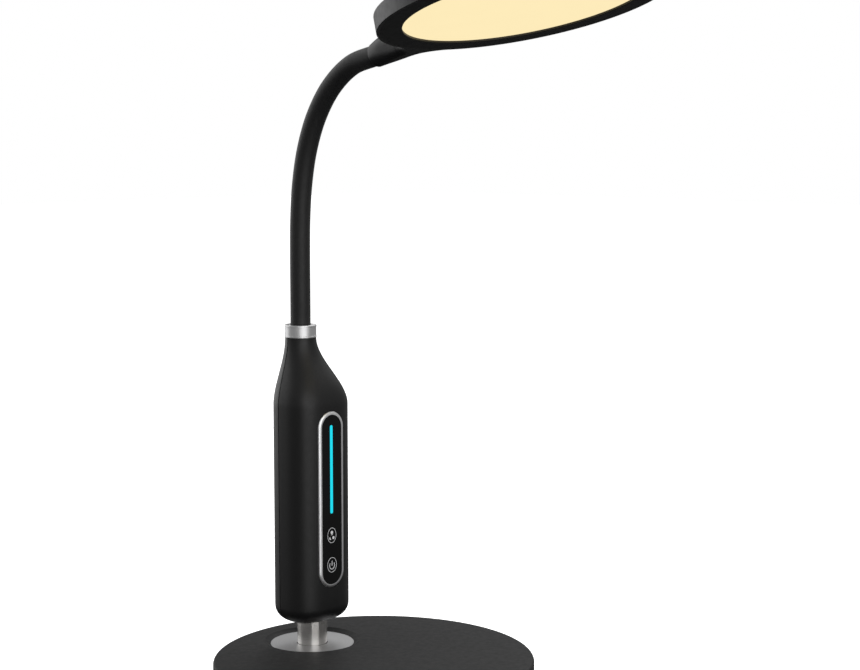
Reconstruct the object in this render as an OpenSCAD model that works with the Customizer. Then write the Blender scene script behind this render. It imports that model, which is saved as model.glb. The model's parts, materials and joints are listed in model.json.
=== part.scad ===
// Desk lamp: a round weighted base, a bottle-shaped touch handle on a short post,
// a bendable neck and a flat round light head.
// The lamp stands on z = 0 with the middle of its base at the origin, and its front faces -Y.

/* [Base] */
// Radius of the round base
base_r = 90; // [86:1:110]
// Height of the base with its foot pad
base_h = 20; // [20:0.5:30]
// Rounding of the base's top edge
base_edge = 1.6; // [0.8:0.2:2.4]
// Wall of the base cover
cover_wall = 2.6; // [2:0.2:3.2]
// Thickness of the foot pad
pad_t = 1.5; // [1:0.25:2]
// Distance of the foot pad's edge from the base's edge
pad_inset = 4; // [2:0.5:8]
// Thickness of the bottom plate
bottom_t = 1.5; // [1:0.25:2]
// Thickness of the steel weight
weight_t = 6; // [4:0.5:7]
// Distance of the weight's edge from the inside of the cover
weight_margin = 3; // [1:0.5:6]
// Radius of the circle that the base screws stand on
base_screw_ring = 70; // [66:1:72]
// Number of base screws
base_screw_count = 4; // [4:2:8]
// Radius of the base screws' shanks
base_screw_r = 1.5; // [1.25:0.25:2]
// Radius of the bosses that take the base screws
base_boss_r = 4; // [3:0.5:5]
// Radius of the power jack's barrel
jack_r = 4.2; // [3.8:0.1:4.4]
// Length of the power jack
jack_len = 15; // [13:0.5:18]

/* [Dish and post] */
// Distance of the post's axis from the base's rear edge
post_in = 38; // [36:1:45]
// Radius of the dish at the base's top
dish_r = 27.2; // [25.5:0.1:29]
// Radius of the plate in the dish
dish_plate_r = 24.2; // [20:0.1:25]
// Depth of the dish plate's top below the base's top
dish_drop = 1.8; // [1:0.1:2.4]
// Thickness of the dish plate
dish_plate_t = 1.2; // [0.8:0.1:1.4]
// Thickness of the cover under the dish plate
dish_floor_t = 3.5; // [3:0.25:4]
// Radius of the post where it shows
post_r = 8.7; // [8.2:0.1:9.5]
// Radius of the post's journal inside the handle
journal_r = 7.5; // [7:0.1:7.8]
// Radius of the bore through the post
post_bore_r = 3; // [2:0.25:3.5]
// Radius of the stud below the post
stud_r = 5; // [4.5:0.25:6]
// Thickness of the post's nut
post_nut_t = 2.5; // [2:0.25:2.75]
// Thickness of the post's washer
post_washer_t = 1; // [0.5:0.25:1.25]

/* [Handle] */
// Gap between the base's top and the handle
handle_gap = 12.4; // [8:0.2:20]
// Width of the handle
handle_w = 42; // [40:0.5:48]
// Depth of the handle from front to back
handle_d = 34.4; // [34:0.2:40]
// Squareness of the handle's section, where 2 is an ellipse
handle_square = 2.8; // [2.6:0.1:3.4]
// Height of the handle below its shoulder
handle_straight = 125.6; // [124:0.2:150]
// Height of the shoulder
shoulder_h = 38; // [36:0.5:46]
// Radius of the shoulder's round top
shoulder_top_r = 8.95; // [8.8:0.05:10]
// Rounding of the handle's bottom edge
handle_round = 9.6; // [6:0.2:10]
// Wall of the handle's shells
shell_wall = 2; // [1.6:0.1:2.2]
// Thickness of the handle's floor
floor_t = 2.4; // [2:0.1:3]
// Distance of the shells' seam behind the post's axis
seam_back = 4.2; // [2:0.2:5]
// Outer radius of the swivel bush
bush_r = 11; // [9.5:0.1:11.2]
// Length of the swivel bush
bush_h = 28; // [22:1:30]
// Distance of the shell screws from the handle's middle
shell_screw_x = 13.5; // [13:0.1:14]
// Height of the lower pair of shell screws above the handle's bottom
shell_screw_low = 48; // [44:1:60]
// Height of the upper pair of shell screws above the handle's bottom
shell_screw_high = 112; // [100:1:118]
// Radius of the shell screws' shanks
shell_screw_r = 1.2; // [1:0.1:1.4]

/* [Touch panel] */
// Width of the panel's rim
panel_w = 18.8; // [17:0.2:20]
// Height of the panel's rim
panel_h = 102; // [98:0.5:104]
// Height of the panel's middle above the handle's bottom
panel_mid = 72.2; // [71:0.2:74]
// Width of the rim itself
rim_w = 2; // [1.2:0.1:2.4]
// Thickness of the rim
rim_t = 2.2; // [1.8:0.1:2.6]
// Thickness of the touch lens
lens_t = 1.6; // [1.2:0.1:2]
// How far the panel stands out of the handle's front
panel_proud = 0.2; // [0.1:0.05:0.5]
// Width of the light bar
bar_w = 2; // [1.6:0.1:4]
// Length of the light bar
bar_l = 51; // [40:1:54]
// Height of the light bar's middle above the panel's middle
bar_up = 17.6; // [16:0.2:19]
// Number of light sources behind the light bar
bar_led_count = 6; // [4:1:8]
// Distance of the mode touch spot below the panel's middle
mode_down = 20.6; // [18:0.2:23]
// Distance of the power touch spot below the panel's middle
power_down = 37.8; // [33:0.2:39]
// Radius of the touch pads behind the two spots
touch_pad_r = 4; // [3:0.1:5]
// Gap between the lens and the control board
board_gap = 2; // [1.6:0.1:2.2]
// Thickness of the control board
board_t = 1.2; // [0.8:0.1:1.4]
// Width of the control board
board_w = 16; // [14:0.5:16.5]
// How far the control board runs past the panel at each end
board_over = 6.5; // [5.5:0.25:7]

/* [Neck] */
// Distance of the neck behind the post's axis
neck_back = 8.2; // [7:0.1:9]
// Radius of the neck
neck_r = 5.78; // [5.4:0.01:6]
// Wall of the neck's soft sleeve
sleeve_wall = 1.2; // [0.8:0.1:1.4]
// Wall of the neck's steel core
core_wall = 1.6; // [1:0.1:2]
// Straight length of the neck above its collar
neck_straight = 36; // [20:1:60]
// Curved length of the neck
neck_curve = 135.4; // [120:1:180]
// Straight length of the neck before the head's socket
neck_lead = 10.3; // [6:0.5:20]
// Number of places where the neck bends
neck_bends = 8; // [6:2:10]
// Extra radius of each ball end over the neck's radius
ball_extra = 0.6; // [0.4:0.05:0.8]
// Radius of the collar
collar_r = 9.15; // [9:0.05:10]
// Height of the collar
collar_h = 7.4; // [5:0.2:10]
// Length of the ferrule that holds the neck in the handle
ferrule_len = 20; // [19:0.5:24]

/* [Head] */
// Radius of the head
head_r = 76; // [75:0.5:90]
// Thickness of the head
head_t = 9.3; // [9:0.1:12]
// Rise of the head's front edge
head_tilt = 14.2; // [5:0.2:25]
// Distance from the end of the neck's socket to the head's middle
head_reach = 109.9; // [108:0.1:118]
// Wall of the head's housing
head_wall = 2; // [1.6:0.1:2.4]
// Thickness of the housing's top
head_top_t = 1.4; // [1:0.1:1.6]
// Rounding of the head's top edge
head_edge = 1.2; // [0.6:0.1:2]
// Radius of the lit window
window_r = 62.8; // [58:0.1:64]
// Depth of the diffuser in the window
window_depth = 1.2; // [0.8:0.1:1.4]
// Thickness of the diffuser
diffuser_t = 1.2; // [0.8:0.1:1.4]
// How far the diffuser reaches past the window
diffuser_over = 4.4; // [4:0.1:4.6]
// Thickness of the light guide
guide_t = 2.2; // [1.6:0.1:2.4]
// Thickness of the reflector sheet
reflector_t = 0.3; // [0.2:0.1:0.4]
// Thickness of the back plate
back_t = 0.8; // [0.6:0.1:0.9]
// Thickness of the light strip around the guide
strip_t = 1.2; // [0.8:0.1:1.4]
// Radius of the circle that the head screws stand on
head_screw_ring = 70; // [69.8:0.1:70.2]
// Number of head screws
head_screw_count = 6; // [4:2:8]
// Radius of the socket's mouth
socket_r = 6.7; // [6.5:0.1:7.2]
// Radius of the socket's thickest place
socket_swell_r = 7.7; // [7.2:0.1:8.4]
// Distance of the socket's thickest place from its mouth
socket_swell_at = 11; // [8:0.5:13]
// Radius of the fillets between the socket and the head's edge
socket_fillet = 14; // [8:0.5:18]

/* [Clearances] */
// Gap round pieces that seat in one another
seat_gap = 0.05; // [0.02:0.01:0.1]
// Running gap round the swivel's journal
run_gap = 0.05; // [0.02:0.01:0.09]
// Gap between pieces that move past one another
swing_gap = 0.3; // [0.2:0.05:0.4]

/* [Hidden] */
$fn = 64;
disc_sides = 128;
loft_sides = 40;
shoulder_steps = 10;
round_steps = 5;
hull_sides = 32;
seam_reach = 60;
beyond = 1;
start_angle = 45;

// Levels of the base, from the foot up
bottom_z = pad_t;
weight_z = bottom_z + bottom_t;
dish_z = base_h - dish_drop;
dish_floor_z = dish_z - dish_plate_t;
dish_under_z = dish_floor_z - dish_floor_t;
stud_z = dish_under_z - post_washer_t - post_nut_t;
lead_r = 1;
lead_z = stud_z - lead_r - swing_gap;
lead_bend_r = 4;
base_in_r = base_r - cover_wall;
post_back = base_r - post_in;
base_cavity_z = base_h - cover_wall;
dish_boss_r = dish_r + cover_wall;
post_nut_r = 9;
post_washer_r = 10;
base_screw_head_r = 3;
base_screw_head_t = 1;
base_screw_len = 8;
weight_r = base_in_r - weight_margin;
jack_nose_r = 3.6;
jack_wall_sag = base_in_r - sqrt(base_in_r * base_in_r - jack_r * jack_r);
jack_nose_len = cover_wall + jack_wall_sag + seat_gap;
jack_hole_r = 2.8;
jack_hole_len = 9;
jack_pin_r = 1;
jack_flat = 0.4;
jack_back_y = base_r - jack_len;

// Levels of the handle
handle_z = base_h + handle_gap;
floor_z = handle_z + floor_t;
shoulder_z = handle_z + handle_straight;
handle_top_z = shoulder_z + shoulder_h;
half_w = handle_w / 2;
half_d = handle_d / 2;
bush_z = floor_z;
bush_top_z = bush_z + bush_h;
journal_z = floor_z - swing_gap;
clip_t = 1.2;
clip_depth = 1;
clip_reach = 1.6;
clip_r = journal_r + clip_reach;
swivel_washer_t = 1;
washer_margin = 0.5;
swivel_washer_r = bush_r - washer_margin;
swivel_washer_z = bush_top_z + swing_gap;
clip_z = swivel_washer_z + swivel_washer_t;
post_end = 2;
post_top_z = clip_z + clip_t + post_end;
web_t = 2;
web_margin = 6;
web_levels = [bush_z + web_margin, bush_top_z - web_margin - web_t];
lip_h = 14;
nut_t = 4;
ferrule_r = 5.5;
ferrule_nut_r = 7.6;

// Places of the touch panel, measured from the post's axis
panel_z = handle_z + panel_mid;
panel_y = -half_d - panel_proud;
lens_back_y = panel_y + lens_t;
board_y = lens_back_y + board_gap;
board_back_y = board_y + board_t;
board_h = panel_h + 2 * board_over;
board_post_r = 2;
board_post_up = panel_h / 2 + board_over / 2 + seat_gap;
board_screw_r = 0.9;
board_screw_head_r = 1.8;
board_screw_head_t = 0.8;
board_screw_len = 1.4;
lens_w = panel_w - 2 * rim_w;
lens_h = panel_h - 2 * rim_w;
bar_back = 0.4;
led_size = 1.6;
web_front_y = board_back_y + board_screw_head_t + swing_gap;
shell_boss_r = 3;
shell_screw_head_r = 2.2;
shell_screw_head_t = 1.6;
shell_screw_seat = 4.5;
shell_screw_seat_y = seam_back + shell_screw_seat;
shell_screw_len = 12;

// The neck: equal slices along a line that starts straight and then curves more and more
core_r = neck_r - sleeve_wall - seat_gap;
core_bore_r = core_r - core_wall;
ball_r = neck_r + ball_extra;
neck_z = handle_top_z + collar_h;
neck_len = neck_straight + neck_curve + neck_lead;
slice_len = neck_len / (neck_bends + 1);
end_angle = 90 - head_tilt;
collar_edge = 0.4;
core_into_handle = collar_h + ferrule_len;
sleeve_into_socket = 11;
core_into_socket = 22;

// Levels of the head above its underside
diffuser_z = window_depth;
guide_z = diffuser_z + diffuser_t;
reflector_z = guide_z + guide_t;
back_z = reflector_z + reflector_t;
back_top_z = back_z + back_t;
head_cavity_z = head_t - head_top_t;
head_in_r = head_r - head_wall;
diffuser_r = window_r + diffuser_over;
strip_gap = 0.3;
strip_out_r = diffuser_r - strip_gap;
guide_r = strip_out_r - strip_t - seat_gap;
bezel_r = head_in_r - seat_gap;
bezel_lip_w = 1.1;
bezel_lip_h = 2;
back_plate_r = bezel_r - bezel_lip_w;
head_boss_r = 2.4;
head_screw_r = 0.9;
head_screw_head_r = 1.7;
head_screw_head_t = 1;
head_screw_len = 2.4;
socket_axis_z = socket_r;
socket_swell_y = head_reach - socket_swell_at;
socket_root_in = 10;
socket_root_y = head_r - socket_root_in;
socket_root_r = head_t / 2;
socket_slice = 0.5;
flare_x = socket_swell_r - seat_gap;
flare_middle_x = flare_x + socket_fillet;
flare_reach = head_r + socket_fillet;
flare_y = sqrt(flare_reach * flare_reach - flare_middle_x * flare_middle_x);
flare_h = head_t - head_edge;
set_screw_r = 1.5;
set_screw_len = 2;
set_screw_y = head_reach - (sleeve_into_socket + core_into_socket) / 2;
head_lead_r = 0.7;
head_lead_in = 3;
head_lead_over = 13;
head_lead_y = head_reach - core_into_socket + head_lead_in;
head_lead_len = head_lead_y - head_in_r + head_lead_over;

// Points along an arc about a middle, from one angle to another
function arc(middle, r, from, to, steps = 6) =
    [for (i = [0:steps])
        let (a = from + (to - from) * i / steps)
        middle + r * [cos(a), sin(a)]];

function ease(u) = u <= 0 ? 0 : u >= 1 ? 1 : u * u * (3 - 2 * u);
function mix(a, b, t) = a + (b - a) * t;
function shoulder(z) = ease((z - shoulder_z) / shoulder_h);

// How far the bottom rounding pulls the handle's section in at a height
function bottom_pull(z, r, floor) =
    z >= floor + r ? 0 : r - sqrt(max(0, r * r - pow(floor + r - z, 2)));

// One level of the handle's section, pulled in by a wall, as points round the neck or post axis
function signed_pow(v, e) = sign(v) * pow(abs(v), e);
function handle_ring(z, wall, r, floor) =
    let (
        t = shoulder(z),
        pull = wall + bottom_pull(z, r, floor),
        w = mix(half_w, shoulder_top_r, t) - pull,
        d = mix(half_d, shoulder_top_r, t) - pull,
        e = 2 / mix(handle_square, 2, t)
    )
    [for (i = [0:loft_sides - 1])
        let (a = 360 * i / loft_sides)
        [w * signed_pow(cos(a), e), post_back + neck_back * t + d * signed_pow(sin(a), e), z]];

function round_levels(floor, r) = [for (i = [0:round_steps]) floor + r * (1 - cos(90 * i / round_steps))];
function shoulder_levels(top) =
    [for (i = [0:shoulder_steps]) shoulder_z + (top - shoulder_z) * i / shoulder_steps];

// Half depth of the handle's section at a distance from its middle
function depth_at(x, wall) =
    (half_d - wall) * pow(1 - pow(x / (half_w - wall), handle_square), 1 / handle_square);

// The seam's distance from the base's middle at a height
function seam_y(z) = post_back + mix(seam_back, neck_back + 1, shoulder(z));

// Angle of the neck's line from upright at a length along it
function neck_angle(s) =
    end_angle * pow(min(1, max(0, (s - neck_straight) / neck_curve)), 2);

// Each slice is straight between its ends, and the last one lines up with the head's socket
function slice_angle(k) =
    k < neck_bends ? (neck_angle(k * slice_len) + neck_angle((k + 1) * slice_len)) / 2 : end_angle;
function neck_point(k) =
    k == 0 ? [0, post_back + neck_back, neck_z]
    : neck_point(k - 1) + slice_len * [0, -sin(slice_angle(k - 1)), cos(slice_angle(k - 1))];
head_middle = neck_point(neck_bends + 1)
    + head_reach * [0, -cos(head_tilt), sin(head_tilt)]
    - socket_axis_z * [0, sin(head_tilt), cos(head_tilt)];

module at_post() {
    translate([0, post_back, 0])
        children();
}

module at_neck() {
    translate([0, post_back + neck_back, 0])
        children();
}

module at_head() {
    translate(head_middle)
        rotate([-head_tilt, 0, 0])
            children();
}

// Places children at a height on the panel, with +Z of the children pointing to the back
module at_panel(y, up) {
    translate([0, post_back + y, panel_z + up])
        rotate([-90, 0, 0])
            children();
}

module ring(outer, inner, h) {
    difference() {
        cylinder(r = outer, h = h);
        translate([0, 0, -beyond])
            cylinder(r = inner, h = h + 2 * beyond);
    }
}

// A screw with its head's underside at z = 0 and its shank along +Z
module screw(r, len, head_r, head_t) {
    translate([0, 0, -head_t])
        cylinder(r = head_r, h = head_t);
    cylinder(r = r, h = len);
}

module around(r, count, first) {
    for (i = [0:count - 1]) {
        rotate([0, 0, first + 360 * i / count])
            translate([r, 0, 0])
                children();
    }
}

// An upright bar with round ends, drawn flat
module pill(w, h) {
    square([w, h - w], center = true);
    for (side = [-1, 1]) {
        translate([0, side * (h - w) / 2])
            circle(r = w / 2);
    }
}

// Base

module base_cover() {
    color("#2b2b2d")
    difference() {
        union() {
            rotate_extrude($fn = disc_sides)
                polygon(concat(
                    [[base_in_r, bottom_z], [base_r, bottom_z]],
                    arc([base_r - base_edge, base_h - base_edge], base_edge, 0, 90),
                    [[0, base_h], [0, base_cavity_z], [base_in_r, base_cavity_z]]
                ));
            at_post()
                translate([0, 0, dish_under_z])
                    cylinder(r = dish_boss_r, h = base_cavity_z - dish_under_z + cover_wall / 2);
            around(base_screw_ring, base_screw_count, start_angle)
                translate([0, 0, weight_z])
                    cylinder(r = base_boss_r, h = base_cavity_z - weight_z + cover_wall / 2);
        }
        at_post() {
            translate([0, 0, dish_z])
                cylinder(r1 = dish_plate_r + seat_gap, r2 = dish_r, h = dish_drop);
            translate([0, 0, base_h])
                cylinder(r = dish_r, h = beyond);
            translate([0, 0, dish_floor_z])
                cylinder(r = dish_plate_r + seat_gap, h = dish_plate_t);
            translate([0, 0, dish_under_z - beyond])
                cylinder(r = stud_r + seat_gap, h = dish_floor_t + 2 * beyond);
        }
        around(base_screw_ring, base_screw_count, start_angle)
            translate([0, 0, weight_z - beyond])
                cylinder(r = base_screw_r + seat_gap, h = base_screw_len + beyond);
        translate([0, base_in_r - beyond, lead_z])
            rotate([-90, 0, 0])
                cylinder(r = jack_nose_r + seat_gap, h = cover_wall + 2 * beyond);
    }
}

module bottom_plate() {
    color("#3a3a3c")
    difference() {
        translate([0, 0, bottom_z])
            cylinder(r = base_in_r - seat_gap, h = bottom_t, $fn = disc_sides);
        around(base_screw_ring, base_screw_count, start_angle) {
            translate([0, 0, bottom_z - beyond])
                cylinder(r = base_screw_r + seat_gap, h = bottom_t + 2 * beyond);
            translate([0, 0, bottom_z - beyond])
                cylinder(r = base_screw_head_r + seat_gap, h = base_screw_head_t + beyond);
        }
    }
}

module base_weight() {
    color("#6b6e72")
    translate([0, 0, weight_z])
    difference() {
        cylinder(r = weight_r, h = weight_t, $fn = disc_sides);
        around(base_screw_ring, base_screw_count, start_angle)
            translate([0, 0, -beyond])
                cylinder(r = base_boss_r + swing_gap, h = weight_t + 2 * beyond);
        at_post() {
            translate([0, 0, -beyond])
                cylinder(r = post_washer_r + weight_margin, h = weight_t + 2 * beyond);
            translate([-jack_r - weight_margin, 0, -beyond])
                cube([2 * (jack_r + weight_margin), base_r, weight_t + 2 * beyond]);
        }
    }
}

module foot_pad() {
    color("#1d1d1e")
    cylinder(r = base_r - pad_inset, h = pad_t, $fn = disc_sides);
}

module base_screws() {
    color("silver")
    around(base_screw_ring, base_screw_count, start_angle)
        translate([0, 0, bottom_z + base_screw_head_t])
            screw(base_screw_r, base_screw_len - beyond, base_screw_head_r, base_screw_head_t);
}

module dish_plate() {
    color("#8d8f92")
    at_post()
        translate([0, 0, dish_floor_z])
            ring(dish_plate_r, post_r + seat_gap, dish_plate_t);
}

module post() {
    color("#d9dadd")
    at_post()
    rotate_extrude()
        polygon([
            [post_bore_r, stud_z],
            [stud_r, stud_z],
            [stud_r, dish_floor_z],
            [post_r, dish_floor_z],
            [post_r, journal_z],
            [journal_r, journal_z],
            [journal_r, clip_z],
            [journal_r - clip_depth, clip_z],
            [journal_r - clip_depth, clip_z + clip_t],
            [journal_r, clip_z + clip_t],
            [journal_r, post_top_z],
            [post_bore_r, post_top_z]
        ]);
}

module post_washer() {
    color("silver")
    at_post()
        translate([0, 0, dish_under_z - post_washer_t])
            ring(post_washer_r, stud_r + seat_gap, post_washer_t);
}

module post_nut() {
    color("#b5b7ba")
    at_post()
        translate([0, 0, stud_z])
            difference() {
                cylinder(r = post_nut_r, h = post_nut_t, $fn = 6);
                translate([0, 0, -beyond])
                    cylinder(r = stud_r + seat_gap, h = post_nut_t + 2 * beyond);
            }
}

module swivel_washer() {
    color("silver")
    at_post()
        translate([0, 0, swivel_washer_z])
            ring(swivel_washer_r, journal_r + seat_gap, swivel_washer_t);
}

module swivel_clip() {
    color("#4c4d50")
    at_post()
        translate([0, 0, clip_z])
            difference() {
                ring(clip_r, journal_r - clip_depth + seat_gap, clip_t);
                translate([-journal_r / 2, 0, -beyond])
                    cube([journal_r, clip_r + beyond, clip_t + 2 * beyond]);
            }
}

module power_jack() {
    color("#202022")
    translate([0, jack_back_y, lead_z])
    rotate([-90, 0, 0]) {
        difference() {
            union() {
                cylinder(r = jack_r, h = jack_len - jack_nose_len);
                cylinder(r = jack_nose_r, h = jack_len - jack_flat);
            }
            translate([0, 0, jack_len - jack_flat - jack_hole_len])
                cylinder(r = jack_hole_r, h = jack_hole_len + beyond);
        }
        cylinder(r = jack_pin_r, h = jack_len - jack_flat - beyond);
    }
}

// A round lead that runs straight from the jack, turns up and rises inside the post
module base_lead() {
    color("#b02a2a")
    at_post() {
        translate([0, lead_bend_r, lead_z])
            rotate([-90, 0, 0])
                cylinder(r = lead_r, h = jack_back_y - post_back - lead_bend_r);
        translate([0, lead_bend_r, lead_z + lead_bend_r])
            rotate([0, 0, 180])
                rotate([90, 0, 90])
                    rotate([0, 0, -90])
                        rotate_extrude(angle = 90)
                            translate([lead_bend_r, 0])
                                circle(r = lead_r);
        translate([0, 0, lead_z + lead_bend_r])
            cylinder(r = lead_r, h = post_top_z - lead_z - lead_bend_r);
    }
}

// Handle

// A closed body through a list of levels of the handle's section
module handle_loft(levels, wall, r, floor) {
    last = len(levels) - 1;
    points = [for (z = levels) each handle_ring(z, wall, r, floor)];
    sides = [for (j = [0:last - 1], i = [0:loft_sides - 1])
        let (n = (i + 1) % loft_sides, a = j * loft_sides, b = a + loft_sides)
        each [[a + i, b + i, b + n], [a + i, b + n, a + n]]];
    bottom = [[for (i = [0:loft_sides - 1]) i]];
    top = [[for (i = [loft_sides - 1:-1:0]) last * loft_sides + i]];
    polyhedron(points = points, faces = concat(sides, bottom, top));
}

module handle_outside() {
    handle_loft(
        concat(round_levels(handle_z, handle_round), shoulder_levels(handle_top_z)),
        0, handle_round, handle_z
    );
}

// The room inside the shells, with the webs that hold the swivel bush left standing
module handle_inside() {
    inner_round = handle_round - shell_wall;
    difference() {
        handle_loft(
            concat(round_levels(floor_z, inner_round), shoulder_levels(handle_top_z - lip_h)),
            shell_wall, inner_round, floor_z
        );
        for (z = web_levels) {
            translate([-handle_w, post_back + web_front_y, z])
                cube([2 * handle_w, handle_d * 2, web_t]);
        }
    }
}

// All space in front of the shells' seam, or behind it
module seam_side(reach) {
    line = [for (z = concat([0], shoulder_levels(handle_top_z), [handle_top_z + seam_reach])) [seam_y(z), z]];
    far = post_back + reach;
    translate([-seam_reach, 0, 0])
        rotate([90, 0, 90])
            linear_extrude(height = 2 * seam_reach)
                polygon(concat(line, [[far, handle_top_z + seam_reach], [far, 0]]));
}

module shell_screw_places() {
    for (side = [-1, 1], up = [shell_screw_low, shell_screw_high]) {
        translate([side * shell_screw_x, post_back, handle_z + up])
            rotate([-90, 0, 0])
                children();
    }
}

module shell_bores() {
    at_post() {
        translate([0, 0, handle_z - beyond])
            cylinder(r = post_r + swing_gap, h = floor_t + 2 * beyond);
        translate([0, 0, bush_z])
            cylinder(r = bush_r + seat_gap, h = bush_h + beyond);
    }
    at_neck()
        translate([0, 0, handle_top_z - lip_h - beyond])
            cylinder(r = ferrule_r + seat_gap, h = lip_h + 2 * beyond);
}

module front_shell() {
    boss_reach = depth_at(shell_screw_x + shell_boss_r, shell_wall / 2);
    color("#262628")
    difference() {
        union() {
            intersection() {
                difference() {
                    handle_outside();
                    handle_inside();
                }
                seam_side(-seam_reach);
            }
            shell_screw_places()
                translate([0, 0, -boss_reach])
                    cylinder(r = shell_boss_r, h = boss_reach + seam_back);
            for (up = [-board_post_up, board_post_up]) {
                at_panel(-half_d + shell_wall / 2, up)
                    cylinder(r = board_post_r, h = board_y + half_d - shell_wall / 2);
            }
        }
        shell_bores();
        at_panel(panel_y - beyond, 0)
            linear_extrude(height = shell_wall + panel_proud + 3 * beyond)
                pill(panel_w + 2 * seat_gap, panel_h + 2 * seat_gap);
        shell_screw_places()
            translate([0, 0, shell_screw_seat_y - shell_screw_len - beyond])
                cylinder(r = shell_screw_r + seat_gap, h = shell_screw_len + 2 * beyond);
        for (up = [-board_post_up, board_post_up]) {
            at_panel(board_y - board_screw_len, up)
                cylinder(r = board_screw_r + seat_gap, h = board_screw_len + beyond);
        }
    }
}

module rear_shell() {
    boss_reach = depth_at(shell_screw_x + shell_boss_r, shell_wall / 2);
    color("#343436")
    difference() {
        union() {
            intersection() {
                difference() {
                    handle_outside();
                    handle_inside();
                }
                seam_side(seam_reach);
            }
            shell_screw_places()
                translate([0, 0, seam_back])
                    cylinder(r = shell_boss_r, h = boss_reach - seam_back);
        }
        shell_bores();
        shell_screw_places() {
            cylinder(r = shell_screw_r + seat_gap, h = half_d);
            translate([0, 0, shell_screw_seat_y])
                cylinder(r = shell_screw_head_r + seat_gap, h = half_d);
        }
    }
}

module shell_screws() {
    color("#4c4d50")
    shell_screw_places()
        translate([0, 0, shell_screw_seat_y])
            rotate([180, 0, 0])
                screw(shell_screw_r, shell_screw_len, shell_screw_head_r, shell_screw_head_t);
}

module swivel_bush() {
    color("#e4e1d6")
    at_post()
        translate([0, 0, bush_z])
            ring(bush_r, journal_r + run_gap, bush_h);
}

module panel_rim() {
    color("#c9cacd")
    at_panel(panel_y, 0)
        linear_extrude(height = rim_t)
            difference() {
                pill(panel_w, panel_h);
                pill(lens_w + 2 * seat_gap, lens_h + 2 * seat_gap);
            }
}

module touch_lens() {
    color("#0d0d0f")
    at_panel(panel_y, 0)
        linear_extrude(height = lens_t)
            difference() {
                pill(lens_w, lens_h);
                translate([0, -bar_up])
                    pill(bar_w + 2 * seat_gap, bar_l + 2 * seat_gap);
            }
}

module light_bar() {
    color("#1fd6ec")
    at_panel(panel_y, bar_up)
        linear_extrude(height = lens_t + bar_back)
            pill(bar_w, bar_l);
}

module bar_leds() {
    pitch = (bar_l - bar_w) / bar_led_count;
    depth = board_gap - bar_back;
    color("#f3efd8")
    for (i = [0:bar_led_count - 1]) {
        at_panel(board_y - depth, bar_up + pitch * (i - (bar_led_count - 1) / 2))
            translate([-led_size / 2, -led_size / 2, 0])
                cube([led_size, led_size, depth]);
    }
}

module touch_pads() {
    color("#c98f3c")
    for (down = [mode_down, power_down]) {
        at_panel(lens_back_y, -down)
            cylinder(r = touch_pad_r, h = board_gap);
    }
}

module control_board() {
    color("#1f6b3a")
    difference() {
        at_panel(board_y, 0)
            translate([-board_w / 2, -board_h / 2, 0])
                cube([board_w, board_h, board_t]);
        for (up = [-board_post_up, board_post_up]) {
            at_panel(board_y - beyond, up)
                cylinder(r = board_screw_r + seat_gap, h = board_t + 2 * beyond);
        }
    }
}

module board_screws() {
    color("silver")
    for (up = [-board_post_up, board_post_up]) {
        at_panel(board_back_y, up)
            rotate([180, 0, 0])
                screw(board_screw_r, board_t + board_screw_len, board_screw_head_r, board_screw_head_t);
    }
}

module collar() {
    color("#c4c6c9")
    at_neck()
    translate([0, 0, handle_top_z])
    rotate_extrude()
        polygon([
            [neck_r + seat_gap, 0],
            [collar_r, 0],
            [collar_r, collar_h - collar_edge],
            [collar_r - collar_edge, collar_h],
            [neck_r + seat_gap, collar_h]
        ]);
}

module neck_ferrule() {
    color("#b08d3e")
    at_neck()
        translate([0, 0, handle_top_z - ferrule_len])
            ring(ferrule_r, core_r + seat_gap, ferrule_len);
}

module ferrule_nut() {
    color("#b5b7ba")
    at_neck()
        translate([0, 0, handle_top_z - lip_h - nut_t])
            difference() {
                cylinder(r = ferrule_nut_r, h = nut_t, $fn = 6);
                translate([0, 0, -beyond])
                    cylinder(r = ferrule_r + seat_gap, h = nut_t + 2 * beyond);
            }
}

// Neck

// Places children at the lower end of a neck slice, with +Z along the neck
module at_slice(k) {
    translate(neck_point(k))
        rotate([slice_angle(k), 0, 0])
            children();
}

// A slice of the neck with a ball at its upper end and a cup at its lower end.
// The first slice reaches down into the handle and the last one into the head's socket.
module neck_slice(k, outer, inner, foot, head) {
    first = k == 0;
    last = k == neck_bends;
    low = first ? foot : 0;
    high = last ? head : ball_r;
    at_slice(k)
    difference() {
        translate([0, 0, -low])
            ring(outer, inner, low + slice_len + high);
        if (!first)
            sphere(r = ball_r + swing_gap);
        if (!last)
            translate([0, 0, slice_len])
                difference() {
                    cylinder(r = 2 * ball_r, h = 2 * ball_r);
                    sphere(r = ball_r);
                }
    }
}

module neck_sleeve(k) {
    color("#1f1f21")
    neck_slice(k, neck_r, core_r + seat_gap, collar_h, sleeve_into_socket);
}

module neck_core(k) {
    color("#8a8c90")
    neck_slice(k, core_r, core_bore_r, core_into_handle, core_into_socket);
}

// Head, drawn in its own frame: the middle of its underside at the origin, and its back along +Y

// A disc of the socket that stands on the head's underside
module socket_disc(y, r) {
    translate([0, y, r])
        rotate([90, 0, 0])
            cylinder(r = r, h = socket_slice, $fn = hull_sides);
}

// Fillets in plan between the socket's sides and the head's round edge
module socket_fillets() {
    turn = atan2(flare_y, flare_middle_x);
    right = arc([flare_middle_x, flare_y], socket_fillet, 180, 180 + turn);
    left = [for (i = [len(right) - 1:-1:0]) [-right[i].x, right[i].y]];
    linear_extrude(height = flare_h)
        polygon(concat(right, left));
}

// The square end of the fillets, which the round socket grows out of
module flare_end() {
    translate([-flare_x, flare_y - socket_slice, 0])
        cube([2 * flare_x, socket_slice, flare_h]);
}

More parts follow.
